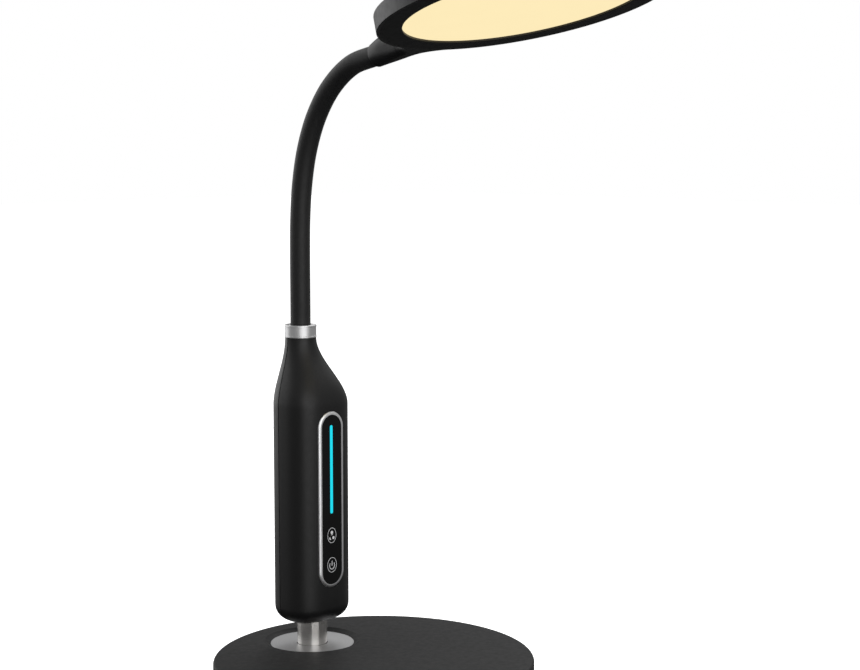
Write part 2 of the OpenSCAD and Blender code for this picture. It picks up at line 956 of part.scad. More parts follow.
module head_housing() {
    color("#3c3c3e")
    at_head()
    difference() {
        union() {
            difference() {
                union() {
                    rotate_extrude($fn = disc_sides)
                        polygon(concat(
                            [[0, 0], [head_r, 0]],
                            arc([head_r - head_edge, head_t - head_edge], head_edge, 0, 90),
                            [[0, head_t]]
                        ));
                    hull() {
                        socket_disc(head_reach, socket_r);
                        socket_disc(socket_swell_y, socket_swell_r);
                    }
                    hull() {
                        socket_disc(socket_swell_y, socket_swell_r);
                        socket_disc(socket_root_y, socket_root_r);
                    }
                    socket_fillets();
                    hull() {
                        flare_end();
                        socket_disc(socket_swell_y, socket_swell_r);
                    }
                }
                translate([0, 0, -beyond])
                    cylinder(r = head_in_r, h = head_cavity_z + beyond, $fn = disc_sides);
            }
            around(head_screw_ring, head_screw_count, 0)
                translate([0, 0, back_top_z])
                    cylinder(r = head_boss_r, h = head_cavity_z - back_top_z + head_top_t / 2);
        }
        around(head_screw_ring, head_screw_count, 0)
            translate([0, 0, back_z])
                cylinder(r = head_screw_r + seat_gap, h = head_screw_len + seat_gap);
        translate([0, head_reach + beyond, socket_axis_z])
            rotate([90, 0, 0])
                cylinder(r = neck_r + seat_gap, h = core_into_socket + 2 * beyond);
        translate([0, head_reach, socket_axis_z])
            rotate([90, 0, 0])
                cylinder(r = head_lead_r + swing_gap, h = head_reach - head_in_r + 2 * beyond);
        translate([0, set_screw_y, socket_axis_z])
            cylinder(r = set_screw_r + seat_gap, h = 3 * socket_swell_r);
    }
}

module head_bezel() {
    color("#2a2a2c")
    at_head()
    rotate_extrude($fn = disc_sides)
        polygon([
            [window_r, 0],
            [bezel_r, 0],
            [bezel_r, window_depth + bezel_lip_h],
            [bezel_r - bezel_lip_w, window_depth + bezel_lip_h],
            [bezel_r - bezel_lip_w, window_depth],
            [window_r, window_depth]
        ]);
}

module diffuser() {
    color("#ffedbd")
    at_head()
        translate([0, 0, diffuser_z])
            cylinder(r = diffuser_r, h = diffuser_t, $fn = disc_sides);
}

module light_guide() {
    color("#e8f1f4")
    at_head()
        translate([0, 0, guide_z])
            cylinder(r = guide_r, h = guide_t, $fn = disc_sides);
}

module reflector() {
    color("white")
    at_head()
        translate([0, 0, reflector_z])
            cylinder(r = guide_r, h = reflector_t, $fn = disc_sides);
}

module light_strip() {
    color("#f2d98a")
    at_head()
        translate([0, 0, guide_z])
            ring(strip_out_r, strip_out_r - strip_t, guide_t, $fn = disc_sides);
}

module back_plate() {
    color("#b9bcc0")
    at_head()
    difference() {
        translate([0, 0, back_z])
            cylinder(r = back_plate_r, h = back_t, $fn = disc_sides);
        around(head_screw_ring, head_screw_count, 0)
            translate([0, 0, back_z - beyond])
                cylinder(r = head_screw_r + seat_gap, h = back_t + 2 * beyond);
    }
}

module head_screws() {
    color("silver")
    at_head()
        around(head_screw_ring, head_screw_count, 0)
            translate([0, 0, back_z])
                screw(head_screw_r, head_screw_len, head_screw_head_r, head_screw_head_t);
}

module upper_ferrule() {
    color("#b08d3e")
    at_head()
        translate([0, head_reach - sleeve_into_socket, socket_axis_z])
            rotate([90, 0, 0])
                ring(ferrule_r, core_r + seat_gap, core_into_socket - sleeve_into_socket);
}

module set_screw() {
    color("#4c4d50")
    at_head()
        translate([0, set_screw_y, socket_axis_z + ferrule_r + seat_gap])
            cylinder(r = set_screw_r, h = set_screw_len);
}

module head_lead() {
    color("#b02a2a")
    at_head()
        translate([0, head_lead_y, socket_axis_z])
            rotate([90, 0, 0])
                cylinder(r = head_lead_r, h = head_lead_len);
}

base_cover();
bottom_plate();
base_weight();
foot_pad();
base_screws();
dish_plate();
post();
post_washer();
post_nut();
swivel_washer();
swivel_clip();
power_jack();
base_lead();
front_shell();
rear_shell();
shell_screws();
swivel_bush();
panel_rim();
touch_lens();
light_bar();
bar_leds();
touch_pads();
control_board();
board_screws();
collar();
neck_ferrule();
ferrule_nut();
for (k = [0:neck_bends]) {
    neck_sleeve(k);
    neck_core(k);
}
head_housing();
head_bezel();
diffuser();
light_guide();
reflector();
light_strip();
back_plate();
head_screws();
upper_ferrule();
set_screw();
head_lead();
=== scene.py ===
"""The look of a desk lamp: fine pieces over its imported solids, materials, light and a camera."""

import json
import math

import bmesh
import bpy
from mathutils import Matrix, Vector


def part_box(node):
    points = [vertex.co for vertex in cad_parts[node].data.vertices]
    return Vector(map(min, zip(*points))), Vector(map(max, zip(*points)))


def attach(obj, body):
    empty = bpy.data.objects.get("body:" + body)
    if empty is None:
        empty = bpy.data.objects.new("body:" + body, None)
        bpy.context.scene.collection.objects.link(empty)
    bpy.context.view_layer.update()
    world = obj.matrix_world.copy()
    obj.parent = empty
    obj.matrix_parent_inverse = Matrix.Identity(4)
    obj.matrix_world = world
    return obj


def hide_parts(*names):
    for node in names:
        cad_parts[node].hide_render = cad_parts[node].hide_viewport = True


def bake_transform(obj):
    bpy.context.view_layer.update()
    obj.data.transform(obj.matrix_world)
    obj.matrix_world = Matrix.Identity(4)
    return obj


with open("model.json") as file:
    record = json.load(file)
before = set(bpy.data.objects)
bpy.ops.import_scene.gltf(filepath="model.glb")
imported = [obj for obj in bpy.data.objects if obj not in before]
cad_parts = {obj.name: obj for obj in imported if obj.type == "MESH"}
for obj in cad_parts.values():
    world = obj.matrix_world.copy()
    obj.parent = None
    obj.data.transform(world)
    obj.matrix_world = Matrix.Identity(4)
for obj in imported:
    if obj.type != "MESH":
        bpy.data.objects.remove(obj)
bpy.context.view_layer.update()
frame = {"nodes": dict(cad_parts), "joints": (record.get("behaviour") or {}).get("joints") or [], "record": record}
scene = bpy.context.scene
MM = 0.001


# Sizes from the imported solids, in millimetres

def box_mm(node):
    """The lowest and the highest corner of a solid's box."""
    low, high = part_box(node)
    return Vector(low) / MM, Vector(high) / MM


JOINTS = {joint["name"]: joint for joint in frame["joints"]}
BASE_LOW, BASE_HIGH = box_mm("base_cover")
PLATE_LOW, PLATE_HIGH = box_mm("dish_plate")
POST_LOW, POST_HIGH = box_mm("post")
FRONT_LOW, FRONT_HIGH = box_mm("front_shell")
REAR_BACK = box_mm("rear_shell")[1].y
RIM_LOW, RIM_HIGH = box_mm("panel_rim")
COLLAR_LOW, COLLAR_HIGH = box_mm("collar")
HEAD_R = box_mm("head_housing")[1].x
DIFFUSER_LOW, DIFFUSER_HIGH = box_mm("diffuser")
JACK_LOW, JACK_HIGH = box_mm("power_jack")
POST_Y = JOINTS["swivel"]["pos_m"][1] / MM
NECK_Y = (COLLAR_LOW.y + COLLAR_HIGH.y) / 2

# Sizes for all meshes, in millimetres and degrees
ROUND_SIDES = 256
SMALL_SIDES = 96
SHARP_ANGLE = 32
WELD_GAP = 0.002
SEAT_GAP = 0.05

# Base and post, in millimetres
BASE_EDGE = 1.6
BASE_WALL = 2.6
DISH_R = 27.2
DISH_LIP = 0.3
DISH_FLOOR = 3.5
PLATE_GAP = 0.35
STUD_R = 5.0
POST_BORE_R = 3.0
JOURNAL_R = 7.5
JACK_HOLE_R = 3.65

# Powers of oval sections: 2 is round, and more is squarer
ROUND_POWER = 2
HANDLE_POWER = 2.8
SOCKET_POWER = 3.6

# Handle and panel, in millimetres and degrees
HANDLE_ROUND = 9.6
HANDLE_ROUND_START = 9.6
HANDLE_FLOOR = 2.4
HANDLE_WALL = 2.0
SHOULDER_H = 38.0
SHOULDER_TOP_R = 8.95
SHOULDER_LIP = 14.0
SEAM_BACK = 4.2
SEAM_TOP_BACK = 1.0
SEAM_GAP = 0.1
GROOVE_W = 0.45
GROOVE_DEEP = 0.9
POST_HOLE_R = 9.0
NECK_BORE_R = 5.6
SHELL_SCREW_X = 13.5
SHELL_SCREW_UPS = (48.0, 112.0)
SHELL_SCREW_SEAT = 8.7
SHELL_SCREW_HOLE_R = 2.25
SHELL_BOSS_R = 3.0
RIM_W = 2.0

# Neck and head, in millimetres and degrees
NECK_R = 5.78
NECK_RING_STEP = 1.0
HEAD_TILT = 14.2
HEAD_T = 9.3
HEAD_EDGE = 1.2
HEAD_WALL = 2.0
HEAD_TOP = 1.4
HEAD_REACH = 109.9
TAIL_ROUND = 4.6
WINDOW_R = 62.8
WINDOW_DEPTH = 1.2
DIFFUSER_T = 1.2
BEZEL_LIP_W = 1.1
BEZEL_LIP_H = 2.0
SOCKET_R = 6.7
SOCKET_SWELL_R = 7.7
SOCKET_SWELL_AT = 11.0
SOCKET_ROOT_IN = 10.0
SOCKET_FILLET = 14.0
SOCKET_LIFT = 0.04
SOCKET_BORE = 24.0
SET_SCREW_Y = 93.4
SET_SCREW_HOLE_R = 1.55


# Mesh helpers

def lerp(a, b, t):
    return a + (b - a) * t


def ease(u):
    """A smooth step from 0 to 1."""
    u = min(1.0, max(0.0, u))
    return u * u * (3 - 2 * u)


def signed_power(value, power):
    return math.copysign(abs(value) ** power, value)


def turn(degrees):
    """The cosine and sine of an angle."""
    a = math.radians(degrees)
    return math.cos(a), math.sin(a)


def full_turn(sides):
    """Cosines and sines of even angles round a circle."""
    return [turn(360 * i / sides) for i in range(sides)]


def quarter_turn(step):
    """Cosines and sines of angles from 0 to 90 degrees."""
    return [turn(degrees) for degrees in range(0, 91, step)]


def arc(middle, r, start, end, steps):
    """Points along an arc about a middle, from one angle to another."""
    points = []
    for i in range(steps + 1):
        c, s = turn(lerp(start, end, i / steps))
        points.append((middle[0] + r * c, middle[1] + r * s))
    return points


def circle(r, z, y=0.0, sides=ROUND_SIDES):
    """A level ring about a point on the lamp's middle plane."""
    return [Vector((r * c, y + r * s, z)) for c, s in full_turn(sides)]


def bridge(a, count_a, b, count_b):
    """Faces between two rings, given the numbers of their first points; either can be one point."""
    count = max(count_a, count_b)
    faces = []
    for i in range(count):
        j = (i + 1) % count
        if count_a == 1:
            faces.append((a, b + j, b + i))
        elif count_b == 1:
            faces.append((a + i, a + j, b))
        else:
            faces.append((a + i, a + j, b + j, b + i))
    return faces


def loft(rings, closed=False, caps=False):
    """A skin through rings: closed joins the last ring to the first, caps fill both ends."""
    points, faces, starts = [], [], []
    for ring in rings:
        starts.append(len(points))
        points.extend(ring)
    count = len(rings)
    for k in range(count if closed else count - 1):
        n = (k + 1) % count
        faces.extend(bridge(starts[k], len(rings[k]), starts[n], len(rings[n])))
    if caps:
        for k in (0, -1):
            faces.append(tuple(range(starts[k], starts[k] + len(rings[k]))))
    return points, faces


def combine(skins):
    """One skin from several."""
    points, faces = [], []
    for more_points, more_faces in skins:
        shift = len(points)
        points.extend(more_points)
        faces.extend(tuple(i + shift for i in face) for face in more_faces)
    return points, faces


def spin(profile, y=0.0, sides=ROUND_SIDES):
    """A closed round skin through (radius, height) points about an upright axis."""
    return loft([circle(r, z, y, sides) for r, z in profile], closed=True)


def rod(r, start, end, sides=SMALL_SIDES):
    """A round rod between two points."""
    start, end = Vector(start), Vector(end)
    along = (end - start).to_track_quat("Z", "Y")
    ring = circle(r, 0, sides=sides)
    return loft([[start + along @ p for p in ring], [end + along @ p for p in ring]], caps=True)


def link_object(name, data):
    """A new object in the scene."""
    obj = bpy.data.objects.new(name, data)
    scene.collection.objects.link(obj)
    return obj


def add_object(name, skin, place=None):
    """A mesh object from a skin in millimetres, set in its place in the lamp's frame."""
    points, faces = skin
    place = place or Matrix.Identity(4)
    mesh = bpy.data.meshes.new(name)
    mesh.from_pydata([place @ (Vector(p) * MM) for p in points], [], faces)
    work = bmesh.new()
    work.from_mesh(mesh)
    bmesh.ops.recalc_face_normals(work, faces=work.faces)
    work.to_mesh(mesh)
    work.free()
    return link_object(name, mesh)


def weld(mesh):
    """Joins points that a cut leaves almost on each other, and splits its many-sided faces."""
    work = bmesh.new()
    work.from_mesh(mesh)
    bmesh.ops.remove_doubles(work, verts=work.verts, dist=WELD_GAP * MM)
    bmesh.ops.dissolve_degenerate(work, edges=work.edges, dist=WELD_GAP * MM)
    many = [face for face in work.faces if len(face.verts) > 4]
    bmesh.ops.triangulate(work, faces=many, ngon_method="BEAUTY")
    work.to_mesh(mesh)
    work.free()


def combine_solids(obj, other, operation):
    """Joins another closed mesh to an object, or cuts it out, and removes the other one."""
    modifier = obj.modifiers.new("solid", "BOOLEAN")
    modifier.operation = operation
    modifier.solver = "EXACT"
    modifier.object = other
    graph = bpy.context.evaluated_depsgraph_get()
    mesh = bpy.data.meshes.new_from_object(obj.evaluated_get(graph))
    weld(mesh)
    obj.modifiers.clear()
    old = obj.data
    obj.data = mesh
    bpy.data.meshes.remove(old)
    bpy.data.objects.remove(other)


def cut(obj, skin, place=None):
    combine_solids(obj, add_object("cutter", skin, place), "DIFFERENCE")


def join(obj, skin, place=None):
    combine_solids(obj, add_object("addition", skin, place), "UNION")


def finish_piece(obj, slot, body=None, nodes=()):
    """Smooth shading, the slot's material, the body it rides on and the solids it stands for."""
    obj.data.shade_smooth()
    obj.data.set_sharp_from_angle(angle=math.radians(SHARP_ANGLE))
    obj.data.materials.clear()
    obj.data.materials.append(MATERIALS[slot])
    if body:
        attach(obj, body)
    if nodes:
        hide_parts(*nodes)


# Materials

NOISE_LOW, NOISE_HIGH = 0.3, 0.7


class Shader:
    """A node material that starts from one Principled surface and adds procedural detail."""

    def __init__(self, name, colour, rough, metal=0.0, specular=0.5):
        self.name = name
        self.colour = colour
        self.rough = rough
        self.material = bpy.data.materials.new(name)
        self.material.use_nodes = True
        self.tree = self.material.node_tree
        self.surface = self.tree.nodes["Principled BSDF"]
        self.set("Base Color", (*colour, 1.0))
        self.set("Roughness", rough)
        self.set("Metallic", metal)
        self.set("Specular IOR Level", specular)
        self.place = self.node("ShaderNodeTexCoord").outputs["Object"]

    def set(self, socket, value):
        """Gives a socket of the surface a constant value."""
        self.surface.inputs[socket].default_value = value

    def feed(self, output, socket):
        """Links an output to a socket of the surface."""
        self.link(output, self.surface.inputs[socket])

    def link(self, output, socket):
        self.tree.links.new(output, socket)

    def node(self, kind, **inputs):
        """A new node with constant values on its named sockets."""
        node = self.tree.nodes.new(kind)
        for name, value in inputs.items():
            node.inputs[name].default_value = value
        return node

    def vector_math(self, operation, vector, constant=None):
        """The outputs of one step of vector arithmetic."""
        node = self.node("ShaderNodeVectorMath")
        node.operation = operation
        self.link(vector, node.inputs[0])
        if constant:
            node.inputs[1].default_value = constant
        return node.outputs

    def noise(self, size, detail=3.0, stretch=None):
        """Noise with grains of a size in millimetres, drawn out along the axes by stretch."""
        noise = self.node("ShaderNodeTexNoise", Scale=1 / (size * MM), Detail=detail)
        place = self.place
        if stretch:
            mapping = self.node("ShaderNodeMapping", Scale=stretch)
            self.link(place, mapping.inputs["Vector"])
            place = mapping.outputs["Vector"]
        self.link(place, noise.inputs["Vector"])
        return noise.outputs["Fac"]

    def rings(self, size, y):
        """Noise in fine rings about an upright axis, as a lathe leaves them."""
        shifted = self.vector_math("SUBTRACT", self.place, (0, y * MM, 0))["Vector"]
        flat = self.vector_math("MULTIPLY", shifted, (1, 1, 0))["Vector"]
        radius = self.vector_math("LENGTH", flat)["Value"]
        noise = self.node("ShaderNodeTexNoise", Scale=1 / (size * MM), Detail=2.0)
        noise.noise_dimensions = "1D"
        self.link(radius, noise.inputs["W"])
        return noise.outputs["Fac"]

    def spread(self, fac, low, high):
        """Noise brought to a range of values."""
        limits = {"From Min": NOISE_LOW, "From Max": NOISE_HIGH, "To Min": low, "To Max": high}
        span = self.node("ShaderNodeMapRange", **limits)
        self.link(fac, span.inputs["Value"])
        return span.outputs["Result"]

    def mottle(self, fac, amount):
        """Colour that is a little darker and lighter with the noise."""
        ramp = self.node("ShaderNodeValToRGB")
        ends = ((NOISE_LOW, 1 - amount), (NOISE_HIGH, 1 + amount))
        for element, (position, share) in zip(ramp.color_ramp.elements, ends):
            element.position = position
            element.color = (*[c * share for c in self.colour], 1)
        self.link(fac, ramp.inputs["Fac"])
        self.feed(ramp.outputs["Color"], "Base Color")

    def uneven_gloss(self, fac, amount):
        """Roughness that varies with the noise by an amount each way."""
        self.feed(self.spread(fac, self.rough - amount, self.rough + amount), "Roughness")

    def bump(self, fac, height, strength):
        """Relief of a height in millimetres."""
        bump = self.node("ShaderNodeBump", Strength=strength, Distance=height * MM)
        self.link(fac, bump.inputs["Height"])
        self.feed(bump.outputs["Normal"], "Normal")


def plastic(name, colour, rough, grain=0.35, relief=0.008, specular=0.5):
    """Moulded plastic with a fine satin grain and faint unevenness of colour and gloss."""
    shader = Shader(name, colour, rough, specular=specular)
    shader.mottle(shader.noise(size=9.0), amount=0.08)
    shader.uneven_gloss(shader.noise(size=3.0), amount=0.04)
    shader.bump(shader.noise(grain, detail=2.0), relief, strength=0.25)
    return shader


def soft_rubber(name, colour, rough):
    """Soft skin with a powdery grain and a faint sheen."""
    shader = plastic(name, colour, rough, grain=0.25, relief=0.03, specular=0.35)
    shader.set("Sheen Weight", 0.08)
    shader.set("Sheen Roughness", 0.5)
    return shader


def gloss(name, colour, rough, specular=0.5):
    """Smooth hard plastic, glass or paint with very slight unevenness."""
    shader = Shader(name, colour, rough, specular=specular)
    shader.mottle(shader.noise(size=6.0), amount=0.05)
    shader.uneven_gloss(shader.noise(size=4.0), amount=rough * 0.2)
    return shader


def turned_metal(name, colour, rough, y):
    """Metal with the fine rings of a lathe on its faces and lines round its sides."""
    line, wide_line = 0.24, 0.48
    shader = Shader(name, colour, rough, metal=1.0)
    shader.mottle(shader.rings(wide_line, y), amount=0.06)
    side_lines = shader.noise(wide_line, stretch=(0.02, 0.02, 1))
    shader.uneven_gloss(side_lines, amount=rough * 0.06)
    shader.bump(shader.rings(line, y), height=0.01, strength=0.01)
    return shader


def brushed_rod(name, colour, rough):
    """A turned and polished bar: its reflections are sharp across it and drawn out along it."""
    shader = Shader(name, colour, rough, metal=1.0)
    shader.mottle(shader.noise(size=0.4, stretch=(0.02, 0.02, 1)), amount=0.04)
    tangent = shader.node("ShaderNodeTangent")
    tangent.direction_type = "RADIAL"
    tangent.axis = "Z"
    shader.feed(tangent.outputs["Tangent"], "Tangent")
    shader.set("Anisotropic", 1.0)
    shader.set("Anisotropic Rotation", 0.25)
    return shader


def polished_metal(name, colour, rough):
    """Smooth metal with slight unevenness."""
    shader = Shader(name, colour, rough, metal=1.0)
    shader.mottle(shader.noise(size=12.0), amount=0.03)
    shader.uneven_gloss(shader.noise(size=8.0, detail=1.0), amount=rough * 0.12)
    return shader


def rolled_metal(name, colour, rough):
    """Sheet or bar metal with faint drawn lines."""
    stretch = (1, 0.05, 1)
    shader = Shader(name, colour, rough, metal=1.0)
    shader.mottle(shader.noise(size=5.0, stretch=stretch), amount=0.08)
    shader.uneven_gloss(shader.noise(size=0.5, stretch=stretch), amount=0.08)
    shader.bump(shader.noise(size=0.3, stretch=stretch), height=0.01, strength=0.2)
    return shader


def lit(name, glow, colour, rough):
    """A diffuser with light behind it, a little uneven as light guides are."""
    uneven = 0.004
    shader = Shader(name, colour, rough, specular=0.2)
    shader.mottle(shader.noise(size=8.0), amount=0.04)
    shader.set("Emission Color", (*glow, 1.0))
    patches = shader.noise(size=20.0, detail=1.0)
    shader.feed(shader.spread(patches, 1 - uneven, 1 + uneven), "Emission Strength")
    return shader


SHADERS = (
    plastic("base_plastic", (0.012, 0.012, 0.0124), 0.56, specular=0.22),
    plastic("bottom_plastic", (0.02, 0.02, 0.021), 0.6, grain=0.6),
    rolled_metal("weight_iron", (0.2, 0.2, 0.21), 0.6),
    soft_rubber("foot_rubber", (0.015, 0.015, 0.015), 0.8),
    polished_metal("screw_steel", (0.5, 0.5, 0.51), 0.3),
    polished_metal("fixing_steel", (0.55, 0.55, 0.56), 0.25),
    turned_metal("dish_metal", (0.51, 0.51, 0.515), 0.46, POST_Y),
    brushed_rod("post_chrome", (0.79, 0.77, 0.74), 0.2),
    plastic("jack_plastic", (0.015, 0.015, 0.016), 0.4),
    gloss("lead_cover", (0.4, 0.03, 0.03), 0.4),
    plastic("front_plastic", (0.005, 0.005, 0.0052), 0.46, specular=0.42),
    plastic("rear_plastic", (0.008, 0.008, 0.0083), 0.42, specular=0.78),
    plastic("bush_plastic", (0.75, 0.73, 0.66), 0.5),
    polished_metal("rim_chrome", (0.9, 0.9, 0.905), 0.4),
    gloss("lens_gloss", (0.003, 0.003, 0.0032), 0.25, specular=0.22),
    lit("bar_glow", (0.010, 0.716, 0.871), (0.005, 0.02, 0.025), 0.3),
    gloss("led_plastic", (0.85, 0.82, 0.65), 0.4),
    polished_metal("pad_copper", (0.7, 0.4, 0.15), 0.3),
    gloss("board_green", (0.02, 0.18, 0.06), 0.3),
    turned_metal("collar_metal", (0.72, 0.72, 0.725), 0.41, NECK_Y),
    turned_metal("ferrule_brass", (0.6, 0.42, 0.14), 0.3, NECK_Y),
    soft_rubber("neck_rubber", (0.013, 0.013, 0.0135), 0.5),
    rolled_metal("core_steel", (0.4, 0.4, 0.41), 0.35),
    plastic("head_plastic", (0.010, 0.010, 0.0104), 0.45, specular=0.7),
    plastic("bezel_plastic", (0.008, 0.008, 0.0083), 0.47, specular=0.4),
    lit("diffuser_plastic", (0.985, 0.83, 0.49), (0.02, 0.017, 0.01), 0.6),
    gloss("guide_acrylic", (0.85, 0.9, 0.92), 0.15),
    gloss("reflector_film", (0.9, 0.9, 0.9), 0.5),
    gloss("strip_board", (0.85, 0.72, 0.3), 0.5),
    rolled_metal("back_metal", (0.5, 0.5, 0.52), 0.35),
)
MATERIALS = {shader.name: shader.material for shader in SHADERS}
GLOWING_MARK_PRINT = gloss("mark_print_painted_glow", (0.55, 0.55, 0.56), 0.5)
# The print's grey is its own colour; its faint glow is painted light that makes it brighter than the lamps alone
# do.
GLOWING_MARK_PRINT.set("Emission Color", (0.8, 0.82, 0.84, 1.0))
GLOWING_MARK_PRINT.set("Emission Strength", 0.27)


def paint_solids():
    """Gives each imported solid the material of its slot."""
    for row in frame["record"]["subparts"]:
        obj = frame["nodes"][row["node"]]
        if not obj.material_slots:
            obj.data.materials.append(MATERIALS[row["material_slot"]])
        for slot in obj.material_slots:
            slot.material = MATERIALS[row["material_slot"]]


# Base

def add_base_cover():
    """A round cover with a soft upper edge, a dish round the post and a hollow below."""
    foot_bevel = 0.3
    r, low, top = BASE_HIGH.x, BASE_LOW.z, BASE_HIGH.z
    seat_r, stud_r = PLATE_HIGH.x + SEAT_GAP, STUD_R + SEAT_GAP
    boss_r, boss_low = DISH_R + BASE_WALL, PLATE_LOW.z - DISH_FLOOR
    cavity_r, cavity_top = r - BASE_WALL, top - BASE_WALL
    outside = [(r - foot_bevel, low), (r, low + foot_bevel)]
    outside += arc((r - BASE_EDGE, top - BASE_EDGE), BASE_EDGE, 0, 90, steps=10)
    dish = arc((DISH_R + DISH_LIP, top - DISH_LIP), DISH_LIP, 90, 150, steps=4)
    dish += [(seat_r, PLATE_HIGH.z), (seat_r, PLATE_LOW.z), (stud_r, PLATE_LOW.z)]
    dish += [(stud_r, boss_low), (boss_r, boss_low), (boss_r, cavity_top)]
    inside = [(cavity_r, cavity_top), (cavity_r, low)]
    rings = [circle(ring_r, z) for ring_r, z in outside]
    rings += [circle(ring_r, z, POST_Y) for ring_r, z in dish]
    rings += [circle(ring_r, z) for ring_r, z in inside]
    cover = add_object("base_cover_skin", loft(rings, closed=True))
    jack_z = (JACK_LOW.z + JACK_HIGH.z) / 2
    cut(cover, rod(JACK_HOLE_R, (0, cavity_r - BASE_WALL, jack_z), (0, r + BASE_WALL, jack_z)))
    finish_piece(cover, "base_plastic", "base", ["base_cover"])


def add_dish_plate():
    """A flat metal ring on the dish's floor."""
    bevel = 0.2
    r, inner = PLATE_HIGH.x, POST_HIGH.x + PLATE_GAP
    low, top = PLATE_LOW.z, PLATE_HIGH.z
    profile = [(inner, low), (r, low), (r, top - bevel), (r - bevel, top), (inner, top)]
    plate = add_object("dish_plate_skin", spin(profile, POST_Y))
    finish_piece(plate, "dish_metal", "base", ["dish_plate"])


def add_post():
    """A hollow post: a stud through the base, the part that shows, and a journal in the handle."""
    bevel = 0.3
    r, low, top = POST_HIGH.x, POST_LOW.z, POST_HIGH.z
    journal = FRONT_LOW.z + HANDLE_FLOOR - bevel
    profile = [(POST_BORE_R, low), (STUD_R, low), (STUD_R, PLATE_LOW.z), (r, PLATE_LOW.z)]
    profile += [(r, journal - bevel), (r - bevel, journal), (JOURNAL_R, journal)]
    profile += [(JOURNAL_R, top - bevel), (JOURNAL_R - bevel, top), (POST_BORE_R, top)]
    post = add_object("post_skin", spin(profile, POST_Y, SMALL_SIDES * 2))
    finish_piece(post, "post_chrome", "base", ["post"])


# Handle

HANDLE_LOW, HANDLE_TOP = FRONT_LOW.z, FRONT_HIGH.z
SHOULDER_Z = HANDLE_TOP - SHOULDER_H
HALF_W = FRONT_HIGH.x
HALF_D = REAR_BACK - POST_Y
FRONT, REAR = -1, 1
SECTION_POINTS = 72
SECTION_SAMPLES = 600


def resample(line, count):
    """Points at even distances along a line of points."""
    tiny = 1e-9
    lengths = [0.0]
    for a, b in zip(line, line[1:]):
        lengths.append(lengths[-1] + math.dist(a, b))
    points, k = [], 0
    for i in range(count):
        want = lengths[-1] * i / (count - 1)
        while k < len(line) - 2 and lengths[k + 1] < want:
            k += 1
        t = (want - lengths[k]) / max(lengths[k + 1] - lengths[k], tiny)
        points.append(tuple(lerp(a, b, t) for a, b in zip(line[k], line[k + 1])))
    return points


def seam_y(z):
    """Where the seam between the shells lies at a height."""
    t = ease((z - SHOULDER_Z) / SHOULDER_H)
    return lerp(POST_Y + SEAM_BACK, NECK_Y + SEAM_TOP_BACK, t)


def half_oval(w, d, middle, power, side, limit):
    """The right half of an oval section, from its middle line to a limit short of the seam."""
    bend = 2 / power
    line = []
    for i in range(SECTION_SAMPLES + 1):
        c, s = turn(90 - 180 * i / SECTION_SAMPLES)
        point = (w * max(c, 0.0) ** bend, middle + side * d * signed_power(s, bend))
        if (point[1] - limit) * side <= 0:
            last = line[-1]
            t = (limit - last[1]) / (point[1] - last[1])
            line.append((lerp(last[0], point[0], t), limit))
            break
        line.append(point)
    return line


def mirrored(points):
    return [Vector((-p.x, p.y, p.z)) for p in points]


def shell_ring(z, pull, inner, side):
    """One level of a shell: round its outside from left to right, and back along its inside."""
    t = ease((z - SHOULDER_Z) / SHOULDER_H)
    w = lerp(HALF_W, SHOULDER_TOP_R, t) - pull
    d = lerp(HALF_D, SHOULDER_TOP_R, t) - pull
    middle = lerp(POST_Y, NECK_Y, t)
    power = lerp(HANDLE_POWER, ROUND_POWER, t)
    face = seam_y(z) + side * SEAM_GAP / 2
    groove = face + side * GROOVE_W
    outer = resample(half_oval(w, d, middle, power, side, groove), SECTION_POINTS)
    outer.append((outer[-1][0] - GROOVE_DEEP, face))
    if inner == "post":
        hollow = half_oval(POST_HOLE_R, POST_HOLE_R, POST_Y, ROUND_POWER, side, face)
    elif inner == "neck":
        hollow = half_oval(NECK_BORE_R, NECK_BORE_R, NECK_Y, ROUND_POWER, side, face)
    else:
        hollow = half_oval(w - HANDLE_WALL, d - HANDLE_WALL, middle, power, side, face)
    outside = [Vector((x, y, z)) for x, y in outer]
    inside = [Vector((x, y, z)) for x, y in resample(hollow, SECTION_POINTS + 1)[::-1]]
    return mirrored(outside[:0:-1]) + outside + inside + mirrored(inside[-2::-1])


def shell_levels():
    """Heights of a shell's levels, with the pull of its bottom rounding and what its inside is."""
    rounding, straight, slope = 14, 18, 28
    change_gap = 0.01
    floor_z = HANDLE_LOW + HANDLE_FLOOR
    lip_z = HANDLE_TOP - SHOULDER_LIP
    heights = []
    for i in range(rounding + 1):
        c, s = turn(lerp(HANDLE_ROUND_START, 90, i / rounding))
        heights.append((HANDLE_LOW + HANDLE_ROUND * (1 - c), HANDLE_ROUND * (1 - s)))
    start = heights[-1][0]
    heights += [(lerp(start, SHOULDER_Z, (i + 1) / straight), 0.0) for i in range(straight)]
    heights += [(lerp(SHOULDER_Z, HANDLE_TOP, (i + 1) / slope), 0.0) for i in range(slope)]
    levels = []
    for z, pull in heights:
        inner = "post" if z < floor_z else "neck" if z > lip_z else "room"
        if levels and levels[-1][2] != inner:
            last_z, last_pull, last_inner = levels[-1]
            change = floor_z if inner == "room" else lip_z
            change_pull = lerp(last_pull, pull, (change - last_z) / (z - last_z))
            levels.append((change - change_gap, change_pull, last_inner))
            levels.append((change + change_gap, change_pull, inner))
        levels.append((z, pull, inner))
    return levels


def shell_skin(side):
    """A closed skin of one shell, with strips of faces across its bottom and top."""
    rings = [shell_ring(z, pull, inner, side) for z, pull, inner in shell_levels()]
    points, faces = loft(rings)
    count = len(rings[0])
    for start in (0, len(points) - count):
        end = start + count - 1
        for i in range(count // 2 - 1):
            faces.append((start + i, start + i + 1, end - 1 - i, end - i))
    return points, faces


PANEL_Z = (RIM_LOW.z + RIM_HIGH.z) / 2
PANEL_Y = RIM_LOW.y
PANEL_HALF_W = RIM_HIGH.x
PANEL_HALF_H = (RIM_HIGH.z - RIM_LOW.z) / 2
PILL_STEPS = 64


